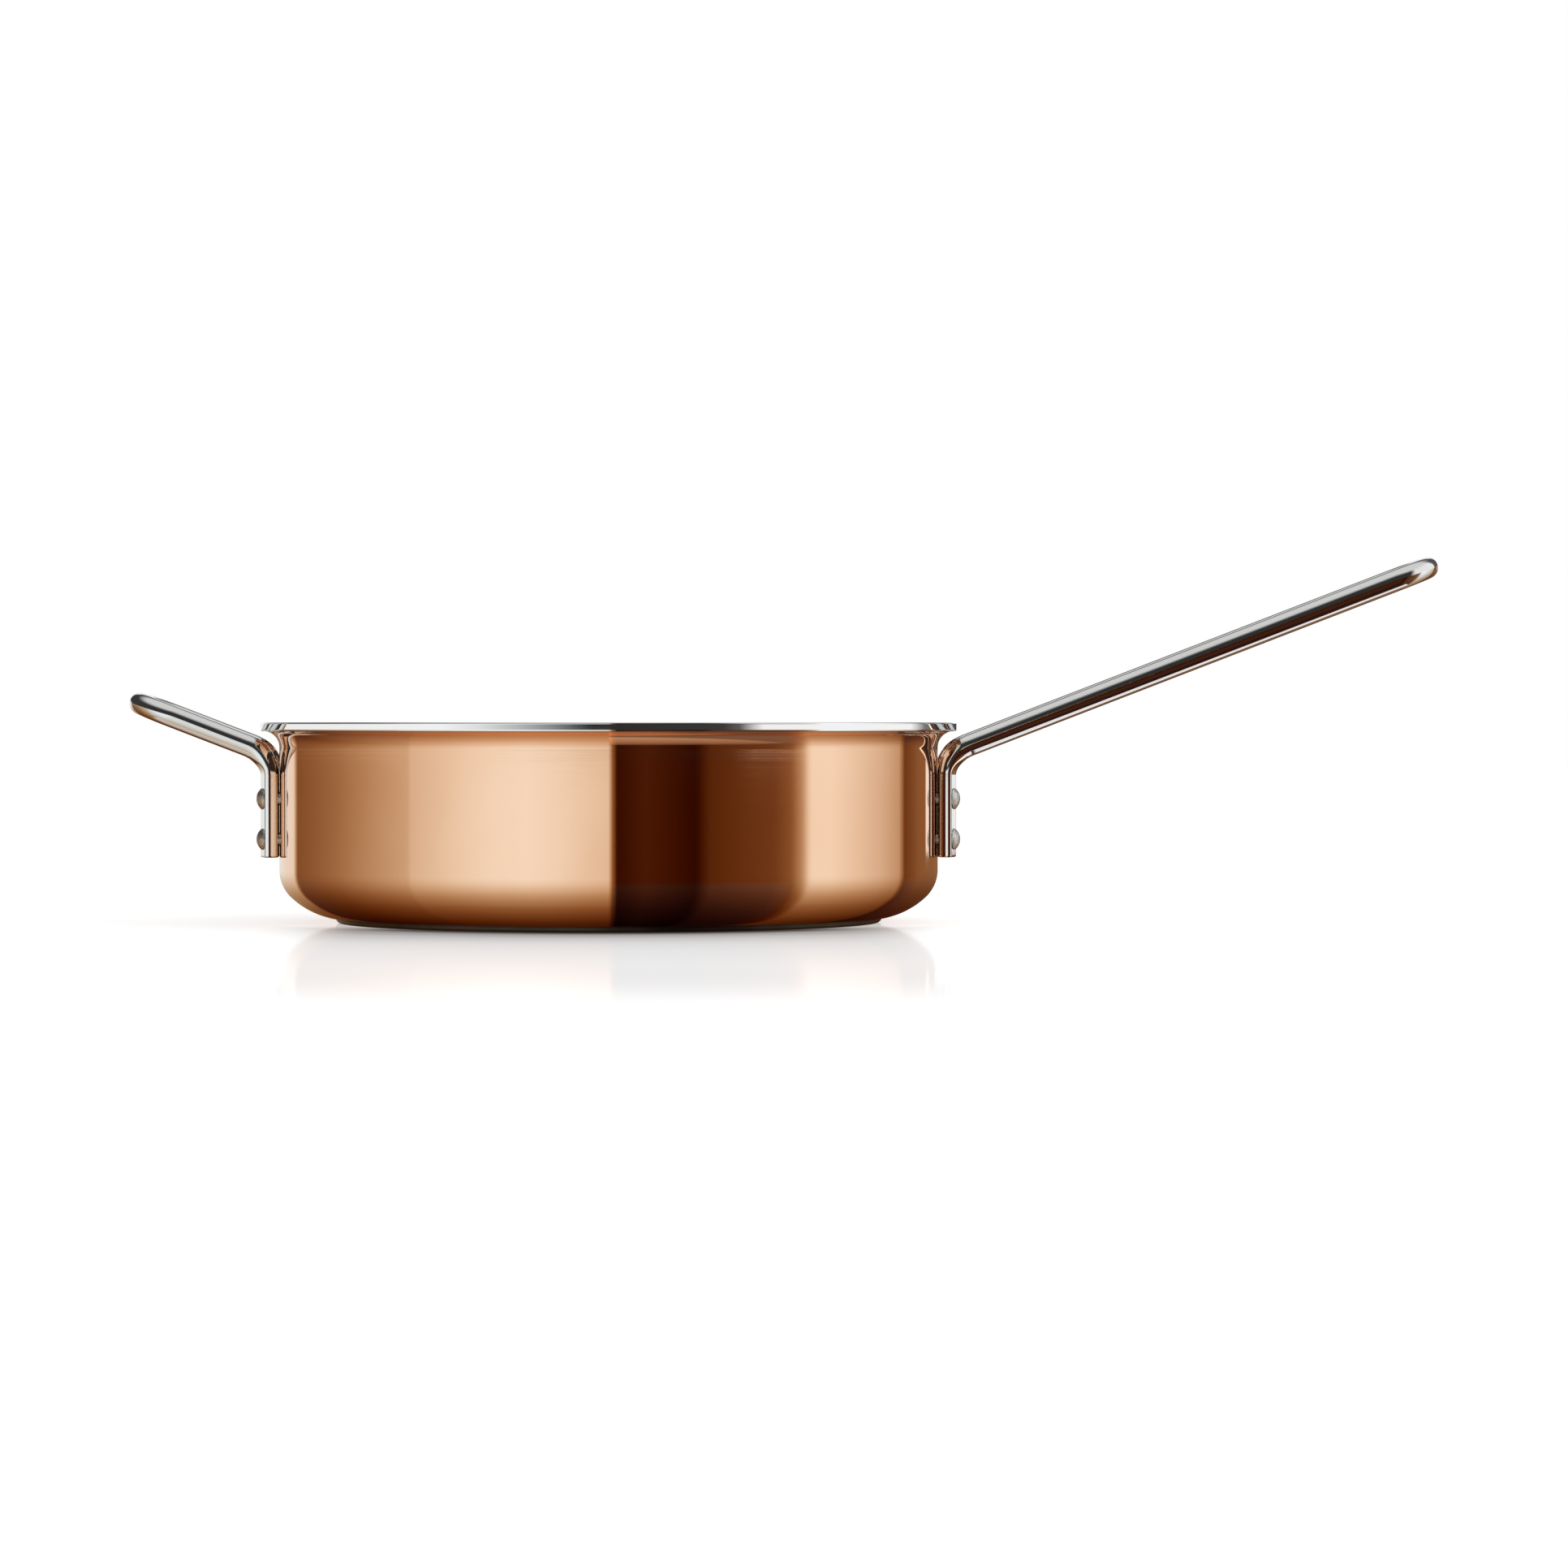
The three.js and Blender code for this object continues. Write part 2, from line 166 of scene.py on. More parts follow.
class Finishes(bpy.types.PropertyGroup):
    """Colours of the metals."""

    copper: colour("Copper", (0.93, 0.60, 0.40), "Polished copper")
    copper_warm: colour("Warm copper", (0.90, 0.55, 0.35), "Copper where it has begun to darken")
    steel: colour("Steel", (0.80, 0.80, 0.79), "Polished stainless steel")
    rod_shade: colour("Rod shade", (0.72, 0.72, 0.72), "Duller clouds of the rods")
    lining_shade: colour("Lining shade", (0.7, 0.7, 0.7), "Duller clouds of the lining")
    rim: colour("Rim steel", (0.89, 0.89, 0.89), "Polished steel of the rim's edge")
    # The base plate's two colours are partly its own dark steel and partly painted shade under the
    # pan, hence almost black.
    base: colour("Base steel", (0.06, 0.06, 0.056), "Dull dark steel of the base plate")
    base_shade: colour("Base shade", (0.09, 0.09, 0.09), "Lighter clouds of the base plate")
    rivet: colour("Rivet metal", (0.82, 0.81, 0.79), "Soft grey metal of the rivets")
    rivet_dark: colour("Rivet shade", (0.5, 0.49, 0.47), "Darker flecks of the rivets")
    aluminium: colour("Aluminium", (0.72, 0.73, 0.75), "Core of the clad sheet")
    aluminium_shade: colour("Aluminium shade", (0.64, 0.64, 0.64), "Duller clouds of the core")


# Shader maths


class Signal:
    """One output socket of a node. Arithmetic on it adds Math nodes."""

    def __init__(self, socket):
        self.socket = socket

    @classmethod
    def node(cls, tree, kind, settings=None, inputs=None, output=0):
        """Adds a node: its settings and ramp stops first, then values or links for its sockets."""
        made = tree.nodes.new(kind)
        for key, value in (settings or {}).items():
            if key == "stops":
                cls._set_stops(made.color_ramp, value)
            else:
                setattr(made, key, value)
        for key, value in (inputs or {}).items():
            if isinstance(value, Signal):
                tree.links.new(value.socket, made.inputs[key])
            else:
                made.inputs[key].default_value = value
        return cls(made.outputs[output])

    @staticmethod
    def _set_stops(ramp, stops):
        """A ramp starts with two stops, at both ends."""
        while len(ramp.elements) < len(stops):
            ramp.elements.new(0.5)
        for element, (place, value) in zip(ramp.elements, stops):
            element.position = place
            element.color = (*value, 1.0)

    def other(self, output):
        """Another output of the same node."""
        return Signal(self.socket.node.outputs[output])

    @property
    def tree(self):
        return self.socket.id_data

    def math(self, operation, *values, first=True):
        """A Math node with this signal as its first value, or as its second."""
        order = (self, *values) if first else (*values, self)
        return Signal.node(
            self.tree, "ShaderNodeMath", {"operation": operation}, dict(enumerate(order))
        )

    def __add__(self, value):
        return self.math("ADD", value)

    __radd__ = __add__

    def __sub__(self, value):
        return self.math("SUBTRACT", value)

    def __rsub__(self, value):
        return self.math("SUBTRACT", value, first=False)

    def __mul__(self, value):
        return self.math("MULTIPLY", value)

    __rmul__ = __mul__

    def __truediv__(self, value):
        return self.math("DIVIDE", value)

    def __rtruediv__(self, value):
        return self.math("DIVIDE", value, first=False)

    def __neg__(self):
        return self.math("MULTIPLY", -1.0)

    def step(self, low, high, to_low=0.0, to_high=1.0, smooth=True):
        """A value that goes from one level to another between two places."""
        return Signal.node(
            self.tree,
            "ShaderNodeMapRange",
            {"interpolation_type": "SMOOTHSTEP" if smooth else "LINEAR", "clamp": True},
            {"Value": self, "From Min": low, "From Max": high, "To Min": to_low, "To Max": to_high},
        )

    def mix(self, first, second):
        """A mix of two colours by this signal."""
        return Signal.node(
            self.tree,
            "ShaderNodeMix",
            {"data_type": "RGBA"},
            {"Factor": self, 6: first, 7: second},
            output=2,
        )


def rgba(value):
    """A colour with a full alpha, for a colour socket."""
    return (*value, 1.0)


def grey(level):
    """A grey of one level, for a colour socket."""
    return (level, level, level, 1.0)


def metal(name, base, roughness, bumps=None):
    """A metal material whose base colour, roughness and bump vary by place."""
    material = bpy.data.materials.new(name)
    material.use_nodes = True
    tree = material.node_tree
    shader = tree.nodes["Principled BSDF"]
    shader.inputs["Metallic"].default_value = 1.0
    place = Signal.node(tree, "ShaderNodeTexCoord", output="Object")
    for key, make in (("Base Color", base), ("Roughness", roughness)):
        tree.links.new(make(tree, place).socket, shader.inputs[key])
    if bumps:
        height, strength, distance = bumps
        bump = Signal.node(
            tree,
            "ShaderNodeBump",
            inputs={"Strength": strength, "Distance": distance, "Height": height(tree, place)},
        )
        tree.links.new(bump.socket, shader.inputs["Normal"])
    return material


def noise(tree, place, scale, detail=2.0, roughness=0.5):
    """A noise of one scale on a place."""
    return Signal.node(
        tree,
        "ShaderNodeTexNoise",
        inputs={"Vector": place, "Scale": scale, "Detail": detail, "Roughness": roughness},
    )


def parts(tree, place):
    """The X, Y and Z of a place."""
    x = Signal.node(tree, "ShaderNodeSeparateXYZ", inputs={"Vector": place}, output="X")
    return x, x.other("Y"), x.other("Z")


def axis_distance(tree, place):
    """Distance from the pan's axis."""
    x, y, _ = parts(tree, place)
    return (x * x + y * y).math("SQRT")


def turned_lines(tree, place, across, along):
    """Fine lines that run round the pan's axis: noise that is long round it and fine across it."""
    x, y, z = parts(tree, place)
    depth = (z + axis_distance(tree, place)) * across
    stretched = Signal.node(
        tree, "ShaderNodeCombineXYZ", inputs={"X": x * along, "Y": y * along, "Z": depth}
    )
    return noise(tree, stretched, 1.0, 3.0, 0.6)


def copper_finish(finish):
    """Polished copper: a slow shift of tone, and faint lines round the wall in gloss and relief."""

    def base(tree, place):
        tone = noise(tree, place, 14.0, 3.0).step(0.35, 0.7)
        return tone.mix(rgba(finish.copper), rgba(finish.copper_warm))

    def roughness(tree, place):
        lines = turned_lines(tree, place, 2200.0, 9.0)
        return lines.step(0.3, 0.75, 0.02, 0.05, smooth=False)

    def height(tree, place):
        return turned_lines(tree, place, 2600.0, 7.0)

    return metal("polished_copper", base, roughness, (height, 0.025, 0.00003))


# Distances from the axis over which the lining's satin passes into the rim's polish.
POLISH_FROM = (0.1262, 0.1276)
POLISH_ROUGHNESS = 0.012


def lining_finish(finish):
    """Satin steel inside, with turned lines, and a polished rim."""

    def rim(tree, place):
        return axis_distance(tree, place).step(*POLISH_FROM)

    def base(tree, place):
        tone = noise(tree, place, 30.0, 3.0).step(0.3, 0.7, 0.0, 0.25)
        satin = tone.mix(rgba(finish.steel), rgba(finish.lining_shade))
        return rim(tree, place).mix(satin, rgba(finish.rim))

    def roughness(tree, place):
        satin = turned_lines(tree, place, 1600.0, 12.0).step(0.3, 0.7, 0.2, 0.32, smooth=False)
        shine = rim(tree, place)
        return satin * (1.0 - shine) + shine * POLISH_ROUGHNESS

    def height(tree, place):
        return turned_lines(tree, place, 1900.0, 10.0) * (1.0 - rim(tree, place))

    return metal("lining_steel", base, roughness, (height, 0.25, 0.00005))


def base_finish(finish):
    """Dull dark steel with turning marks, darkened almost to black as painted shade under the pan.
    """

    def base(tree, place):
        tone = noise(tree, place, 60.0, 4.0).step(0.3, 0.7)
        return tone.mix(rgba(finish.base), rgba(finish.base_shade))

    def roughness(tree, place):
        return turned_lines(tree, place, 1200.0, 10.0).step(0.3, 0.7, 0.34, 0.5, smooth=False)

    def height(tree, place):
        return turned_lines(tree, place, 1200.0, 10.0)

    return metal("base_steel", base, roughness, (height, 0.3, 0.00006))


def rod_finish(finish):
    """Mirror-polished stainless steel with a few hair scratches."""

    def base(tree, place):
        tone = noise(tree, place, 40.0, 2.0).step(0.3, 0.7, 0.0, 0.3)
        return tone.mix(rgba(finish.steel), rgba(finish.rod_shade))

    def roughness(tree, place):
        return noise(tree, place, 900.0, 3.0).step(0.45, 0.8, 0.05, 0.11, smooth=False)

    def height(tree, place):
        return noise(tree, place, 700.0, 3.0)

    return metal("rod_steel", base, roughness, (height, 0.04, 0.00003))


def rivet_finish(finish):
    """Soft metal, hammered dull: flecks of shade and a pitted relief."""

    def base(tree, place):
        flecks = noise(tree, place, 1500.0, 3.0, 0.7).step(0.4, 0.66)
        return flecks.mix(rgba(finish.rivet), rgba(finish.rivet_dark))

    def roughness(tree, place):
        return noise(tree, place, 1100.0, 3.0).step(0.3, 0.7, 0.3, 0.5, smooth=False)

    def height(tree, place):
        return noise(tree, place, 1300.0, 4.0, 0.65)

    return metal("rivet_metal", base, roughness, (height, 0.6, 0.00025))


def core_finish(finish):
    """Bare aluminium with rolling marks."""

    def base(tree, place):
        tone = noise(tree, place, 80.0, 3.0).step(0.3, 0.7)
        return tone.mix(rgba(finish.aluminium), rgba(finish.aluminium_shade))

    def roughness(tree, place):
        return turned_lines(tree, place, 900.0, 10.0).step(0.3, 0.7, 0.35, 0.5, smooth=False)

    return metal("core_aluminium", base, roughness)


# Surfaces

RIM_EDGE_STEPS = 8
DISH_STEPS = 10
BEVEL_STEPS = 10
# Angle at which the arc of the base plate's bevel ends, in radians.
BEVEL_END = -0.45
RIVET_SIDES = 48
INNER_HEAD_STEPS = 14
OUTER_HEAD_STEPS = 24
# Waves round an outer head: their number, their shift for each next rivet, and their size.
HEAD_WAVES = ((3, 1.0, 0.018), (5, 2.1, 0.012))


def arc(centre, radius, start, end, steps):
    """Points on an arc in the plane of radius and height: centre + radius (cos a, sin a)."""
    a = np.linspace(start, end, steps + 1)
    return np.column_stack((centre[0] + radius * np.cos(a), centre[1] + radius * np.sin(a)))


class Sheet:
    """The clad sheet's section, as curves at any depth below its outer face."""

    CORNER_STEPS = 20
    FLARE_STEPS = 24
    HEM_STEPS = 10

    def __init__(self, s):
        self.s = s
        self.wall = s.rim_radius - s.flange - s.flare
        self.flat = self.wall - s.reach
        self.under = s.height - s.sheet
        self.flare_centre = (self.wall + s.flare, self.under - s.flare)
        self.hem_angle = math.acos((s.flange - s.hem) / s.flare)
        self.low = ((s.reach - s.side) ** 2 + s.rise**2 - s.side**2) / (2 * (s.rise - s.side))
        self.side_centre = (self.wall - s.side, s.base + s.rise)
        self.low_centre = (self.flat, s.base + self.low)
        self.join = math.atan2(
            self.side_centre[1] - self.low_centre[1], self.side_centre[0] - self.low_centre[0]
        )

    def body(self, depth):
        """From the axis over the bottom and the two-arc corner to the foot of the flare."""
        axis = np.array([[0.0, self.s.base + depth]])
        low = arc(self.low_centre, self.low - depth, -math.pi / 2, self.join, self.CORNER_STEPS)
        side = arc(self.side_centre, self.s.side - depth, self.join, 0.0, self.CORNER_STEPS)
        return np.concatenate((axis, low, side[1:]))

    def flare(self, depth, start, end, steps):
        """Part of the flare that turns the wall outwards."""
        return arc(self.flare_centre, self.s.flare + depth, start, end, steps)

    def to_hem(self, depth):
        """From the axis to the hem under the rim."""
        flare = self.flare(depth, math.pi, self.hem_angle, self.FLARE_STEPS)
        return np.concatenate((self.body(depth), flare))

    def to_rim(self, depth):
        """From the axis to the level rim."""
        rest = self.flare(depth, self.hem_angle, math.pi / 2, self.HEM_STEPS)
        return np.concatenate((self.to_hem(depth), rest[1:]))


def capped_faces(rows, columns):
    """Quads of a grid whose columns are joined round, and a fan to a pole at each end.

    The two poles are the points after the grid's own.
    """
    k = np.arange(columns)
    after = (k + 1) % columns
    row = np.arange(rows - 1)[:, None] * columns
    first, second = row + k, row + after
    quads = np.stack((first, second, second + columns, first + columns), axis=-1).reshape(-1, 4)
    start, last = rows * columns, (rows - 1) * columns
    low = np.stack((np.full(columns, start), after, k), axis=-1)
    high = np.stack((np.full(columns, start + 1), last + k, last + after), axis=-1)
    return quads.tolist() + low.tolist() + high.tolist()


def new_piece(name, points, faces, material, slot, *nodes):
    """A smooth mesh object at the origin that rides on the pan and stands for CAD nodes."""
    mesh = bpy.data.meshes.new(name)
    mesh.from_pydata(points, [], faces)
    if mesh.validate():
        raise RuntimeError(f"{name} had faulty faces")
    mesh.polygons.foreach_set("use_smooth", np.ones(len(mesh.polygons), dtype=bool))
    mesh.set_sharp_from_angle(angle=SHARP_ANGLE)
    mesh.materials.append(material)
    piece = bpy.data.objects.new(name, mesh)
    bpy.context.scene.collection.objects.link(piece)
    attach(piece, BODY)
    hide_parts(*nodes)
    return piece


def supported(profile):
    """Adds a point close to both ends of each long straight step, which keeps its shading flat."""
    start, step = profile[:-1], np.diff(profile, axis=0)
    size = np.hypot(step[:, 0], step[:, 1])
    index = np.flatnonzero(size > 8 * SUPPORT)
    share = (SUPPORT / size[index])[:, None]
    first = start[index] + share * step[index]
    second = start[index] + (1 - share) * step[index]
    places = np.repeat(index + 1, 2)
    return np.insert(profile, places, np.stack((first, second), axis=1).reshape(-1, 2), axis=0)


def turned(profile, segments):
    """A profile from axis to axis, turned round: (r cos t, r sin t, z), with a pole at each end."""
    profile = supported(profile)
    t = np.arange(segments) * 2 * math.pi / segments
    ring = profile[1:-1]
    points = np.empty((len(ring), segments, 3))
    points[..., 0] = ring[:, :1] * np.cos(t)
    points[..., 1] = ring[:, :1] * np.sin(t)
    points[..., 2] = ring[:, 1:]
    poles = np.array([[0.0, 0.0, profile[0, 1]], [0.0, 0.0, profile[-1, 1]]])
    return np.concatenate((points.reshape(-1, 3), poles)), capped_faces(len(ring), segments)


def soft_least(value, limit, width):
    """The lesser of a value and a limit, rounded where they meet over a width."""
    if width <= 0:
        return np.minimum(value, limit)
    share = np.clip(0.5 + 0.5 * (limit - value) / width, 0.0, 1.0)
    return limit + (value - limit) * share - width * share * (1 - share)


class Rod:
    """Path and section of a bent-rod handle, whose near half is mirrored to the far side."""

    SIDES = 56
    BEND_STEPS = 60
    RUN_STEPS = 24
    TIP_STEPS = 48
    LEG_STEPS = 12
    END_STEPS = 6
    FLAT_EDGE = 0.0007

    def __init__(self, sheet, h):
        self.h = h
        self.radius = h.rod / 2
        self.half = h.spacing / 2
        self.leg_radius = sheet.wall + h.seat + self.radius
        self.leg_x = math.sqrt(self.leg_radius**2 - self.half**2)
        self.leg_angle = math.asin(self.half / self.leg_radius)
        self.flat_radius = self.leg_radius + (self.radius - h.press) / math.cos(h.tilt)
        self.bend_angle = math.pi / 2 - h.rise
        self.corner = sheet.s.height - h.drop
        self.bend_low = self.corner - h.bend * math.tan(self.bend_angle / 2)

    def path(self, reach):
        """Stations of the near half: points, directions, outward directions, press and inset.

        A leg rises straight, the bend turns it by bend_angle about Y, a straight run follows the
        slope, and a quarter circle about the slope's normal reaches the middle of the tip.
        """
        h, y = self.h, -self.half
        cos_leg, sin_leg = math.cos(self.leg_angle + h.tilt), math.sin(self.leg_angle + h.tilt)

        end = np.linspace(0.0, math.pi / 2, self.END_STEPS + 1)
        inset = np.concatenate(
            (h.rounding * (1 - np.sin(end)), np.zeros(self.LEG_STEPS + self.BEND_STEPS))
        )
        leg_z = np.concatenate(
            (
                h.leg_low + h.rounding * (1 - np.cos(end)),
                np.linspace(h.leg_low + h.rounding + SUPPORT, self.bend_low, self.LEG_STEPS),
            )
        )
        turn = np.linspace(0.0, self.bend_angle, self.BEND_STEPS + 1)[1:]
        all_turn = np.concatenate((np.zeros(len(leg_z)), turn))
        bend_x = self.leg_x + h.bend * (1 - np.cos(turn))
        bend_z = self.bend_low + h.bend * np.sin(turn)
        leg = np.column_stack((np.full(len(leg_z), self.leg_x), np.full(len(leg_z), y), leg_z))
        bend = np.column_stack((bend_x, np.full(len(turn), y), bend_z))
        sin_turn, cos_turn = np.sin(all_turn), np.cos(all_turn)
        direction = np.column_stack((sin_turn, np.zeros(len(all_turn)), cos_turn))
        outward = np.column_stack(
            (cos_leg * cos_turn, np.full(len(all_turn), -sin_leg), -cos_leg * sin_turn)
        )
        fade = np.clip((all_turn - h.press_full) / (h.press_end - h.press_full), 0.0, 1.0)
        press = 1 - fade * fade * (3 - 2 * fade)

        slope = np.array([math.sin(self.bend_angle), 0.0, math.cos(self.bend_angle)])
        normal = np.array([-slope[2], 0.0, slope[0]])
        side = np.array([0.0, 1.0, 0.0])
        tip_x = reach - self.radius
        tip = np.array([tip_x, 0.0, self.corner + (tip_x - self.leg_x) * math.tan(h.rise)])
        centre = tip - self.half * slope
        run_start = bend[-1]
        run_end = centre - self.half * side
        share = np.linspace(0.0, 1.0, self.RUN_STEPS + 1)[1:-1, None]
        run = run_start + (run_end - run_start) * share
        t = np.linspace(0.0, math.pi / 2, self.TIP_STEPS + 1)[:, None]
        loop = centre + self.half * (slope * np.sin(t) - side * np.cos(t))
        loop_direction = slope * np.cos(t) + side * np.sin(t)
        loop_outward = -cos_leg * normal - sin_leg * (side * np.cos(t) - slope * np.sin(t))
        run_direction = np.repeat(direction[-1:], len(run), axis=0)
        run_outward = np.repeat(outward[-1:], len(run), axis=0)

        plain = np.zeros(len(run) + len(loop))
        return (
            np.concatenate((leg, bend, run, loop)),
            np.concatenate((direction, run_direction, loop_direction)),
            np.concatenate((outward, run_outward, loop_outward)),
            np.concatenate((press, plain)),
            np.concatenate((inset, plain)),
        )

    def surface(self, reach):
        """The section carried along the path: point + outward x + sideways y.

        The section is a circle of the rod's radius, cut at the pressed flat and widened sideways.
        """
        point, direction, outward, press, inset = self.path(reach)
        sideways = np.cross(direction, outward)
        a = np.arange(self.SIDES) * 2 * math.pi / self.SIDES
        radius = (self.radius - inset)[:, None]
        flat = (self.radius - press * self.h.press - inset)[:, None]
        wide = 1 + press[:, None] * self.h.widening / self.h.rod
        round_x = radius * np.cos(a)
        cut_x = soft_least(round_x, flat, self.FLAT_EDGE)
        x = np.where(press[:, None] > 0, cut_x, round_x)
        y = radius * np.sin(a) * wide
        rings = (
            point[:, None]
            + outward[:, None] * x[..., None]
            + sideways[:, None] * y[..., None]
        )
        mirrored = rings[-2::-1] * np.array([1.0, -1.0, 1.0])
        rings = np.concatenate((rings, mirrored))
        ends = np.stack((rings[0].mean(axis=0), rings[-1].mean(axis=0)))
        points = np.concatenate((rings.reshape(-1, 3), ends))
        return points, capped_faces(len(rings), self.SIDES)


def dome(radius, height, edge, steps):
    """Section of a domed head on its seat, as radius and height, from its middle to its foot."""
    rise = height - edge
    round_radius = (radius**2 + rise**2) / (2 * rise)
    spread = math.asin(radius / round_radius)
    cap = arc((0.0, height - round_radius), round_radius, math.pi / 2, math.pi / 2 - spread, steps)
    cap[0, 0] = 0.0
    return np.concatenate((cap, [[radius, 0.0]]))


def rivet_surface(rod, sheet, r, lean, number):
    """A rivet turned about its own axis: low dome, shank, and a high dome outside that leans.

    The outer dome is raised by lean times its sideways place, as the leg's flat is, and its radius
    waves by a few parts in a hundred round the axis, as hammering leaves it.
    """
    inner_seat = sheet.wall - sheet.s.sheet - rod.h.seat / 3
    outer_seat = rod.flat_radius + rod.h.seat / 3
    inner = dome(r.inner / 2, r.inner_height, r.inner_edge, INNER_HEAD_STEPS)
    inner = inner * (1, -1) + (0, inner_seat)
    outer = dome(r.head / 2, r.head_height, r.head_edge, OUTER_HEAD_STEPS)
    outer = outer[::-1] + (0, outer_seat)
    shank = np.array([[r.shank / 2, inner_seat], [r.shank / 2, outer_seat]])
    points, faces = turned(np.concatenate((inner, shank, outer)), RIVET_SIDES)
    t = np.arctan2(points[:, 1], points[:, 0])
    outside = points[:, 2] > rod.leg_radius
    wave = sum(size * np.sin(count * t + shift * number) for count, shift, size in HEAD_WAVES)
    points[:, :2] *= (1 + outside * wave)[:, None]
    points[:, 2] += outside * lean * points[:, 0]
    return points, faces


def stand_on_wall(points, heading, height):
    """Turns an upright piece so that its axis points outwards along a heading, at a height."""
    c, s = math.cos(heading), math.sin(heading)
    x, y, z = points.T
    return np.column_stack((z * c - x * s, z * s + x * c, y + height))


# Operators


class PAN_OT_copper(bpy.types.Operator):
    """Builds the copper skin: bottom, rounded corner, wall and flare up to the rim's hem"""

    bl_idname = "pan.copper"
    bl_label = "Copper skin"

    def execute(self, context):
        s = context.scene.pan_sizes
        sheet = Sheet(s)
        section = np.concatenate((sheet.to_hem(0.0), sheet.to_hem(s.skin)[::-1]))
        points, faces = turned(section, s.segments)
        finish = copper_finish(context.scene.pan_finishes)
        new_piece("pan_copper", points, faces, finish, "polished_copper", "copper_shell")
        return {"FINISHED"}


class PAN_OT_core(bpy.types.Operator):
    """Builds the aluminium core between the copper and the lining"""

    bl_idname = "pan.core"
    bl_label = "Aluminium core"

    def execute(self, context):
        s = context.scene.pan_sizes
        sheet = Sheet(s)
        low, high = s.skin + s.bond, s.sheet - s.skin - s.bond
        edge = s.rim_radius - s.skin - s.bond
        ends = np.array([[edge, sheet.under + low], [edge, sheet.under + high]])
        section = np.concatenate((sheet.to_rim(low), ends, sheet.to_rim(high)[::-1]))
        points, faces = turned(section, s.segments)
        finish = core_finish(context.scene.pan_finishes)
        new_piece("pan_core", points, faces, finish, "core_aluminium", "aluminium_core")
        return {"FINISHED"}


class PAN_OT_lining(bpy.types.Operator):
    """Builds the steel lining, folded over the rim and hemmed under it"""

    bl_idname = "pan.lining"
    bl_label = "Steel lining"

    def execute(self, context):
        s = context.scene.pan_sizes
        sheet = Sheet(s)
        back = s.sheet - s.skin
        fold = s.rim_radius - s.skin
        inside_fold = np.array([[fold, sheet.under + back], [fold, sheet.under + s.skin]])
        hem = sheet.flare(s.skin, math.pi / 2, sheet.hem_angle, sheet.HEM_STEPS)
        under = sheet.flare(0.0, sheet.hem_angle, math.pi / 2, sheet.HEM_STEPS)
        centre = s.rim_radius - s.edge
        low = arc((centre, sheet.under + s.edge), s.edge, -math.pi / 2, 0.0, RIM_EDGE_STEPS)
        high = arc((centre, s.height - s.edge), s.edge, 0.0, math.pi / 2, RIM_EDGE_STEPS)
        section = np.concatenate(
            (sheet.to_rim(back), inside_fold, hem, under, low, high, sheet.to_rim(s.sheet)[::-1])
        )
        points, faces = turned(section, s.segments)
        finish = lining_finish(context.scene.pan_finishes)
        new_piece("pan_lining", points, faces, finish, "lining_steel", "steel_lining")
        return {"FINISHED"}


class PAN_OT_base(bpy.types.Operator):
    """Builds the base plate, dished to the copper's corner and bevelled at its edge"""

    bl_idname = "pan.base"
    bl_label = "Base plate"

    def execute(self, context):
        s = context.scene.pan_sizes
        sheet = Sheet(s)
        seat = sheet.low + s.bond
        lip = s.base_radius - sheet.flat
        middle = (s.base_radius - s.bevel, s.bevel)
        bevel = arc(middle, s.bevel, -math.pi / 2, BEVEL_END, BEVEL_STEPS)
        top = arc(sheet.low_centre, seat, -math.acos(lip / seat), -math.pi / 2, DISH_STEPS)
        axis = np.array([[0.0, 0.0], [0.0, s.base - s.bond]])
        section = np.concatenate((axis[:1], bevel, top, axis[1:]))
        points, faces = turned(section, s.segments)
        finish = base_finish(context.scene.pan_finishes)
        new_piece("pan_base", points, faces, finish, "base_steel", "base_plate")
        return {"FINISHED"}


class PAN_OT_handles(bpy.types.Operator):
    """Builds the long handle and the helper handle, each one bent rod"""

    bl_idname = "pan.handles"
    bl_label = "Rod handles"

    def execute(self, context):
        h = context.scene.pan_handles
        rod = Rod(Sheet(context.scene.pan_sizes), h)
        finish = rod_finish(context.scene.pan_finishes)
        for side, reach, name in ((1, h.long_reach, "long"), (-1, h.helper_reach, "helper")):
            points, faces = rod.surface(reach)
            points[:, :2] *= side
            new_piece(f"pan_{name}_rod", points, faces, finish, "rod_steel", f"{name}_handle")
        return {"FINISHED"}


class PAN_OT_rivets(bpy.types.Operator):
    """Builds the rivets that hold the legs of both handles to the wall"""

    bl_idname = "pan.rivets"
    bl_label = "Rivets"

    def execute(self, context):
        r = context.scene.pan_rivets
        sheet = Sheet(context.scene.pan_sizes)
        rod = Rod(sheet, context.scene.pan_handles)
        finish = rivet_finish(context.scene.pan_finishes)
        for number, ((side, leg, row), node) in enumerate(RIVET_NODES.items()):
            lean = -side * leg * math.tan(rod.h.tilt)
            points, faces = rivet_surface(rod, sheet, r, lean, number)
            heading = (0.0 if side > 0 else math.pi) + side * leg * rod.leg_angle
            height = rod.h.leg_low + r.first + row * r.pitch
            placed = stand_on_wall(points, heading, height)
            new_piece(f"pan_{node}", placed, faces, finish, "rivet_metal", node)
        return {"FINISHED"}


# Stage

CAMERA_PLACE = (0.028, -2.0, 0.075)
CAMERA_LENS = 122.28
CAMERA_SENSOR = 36.0
CAMERA_YAW = 1.078
CAMERA_PITCH = 0.6635

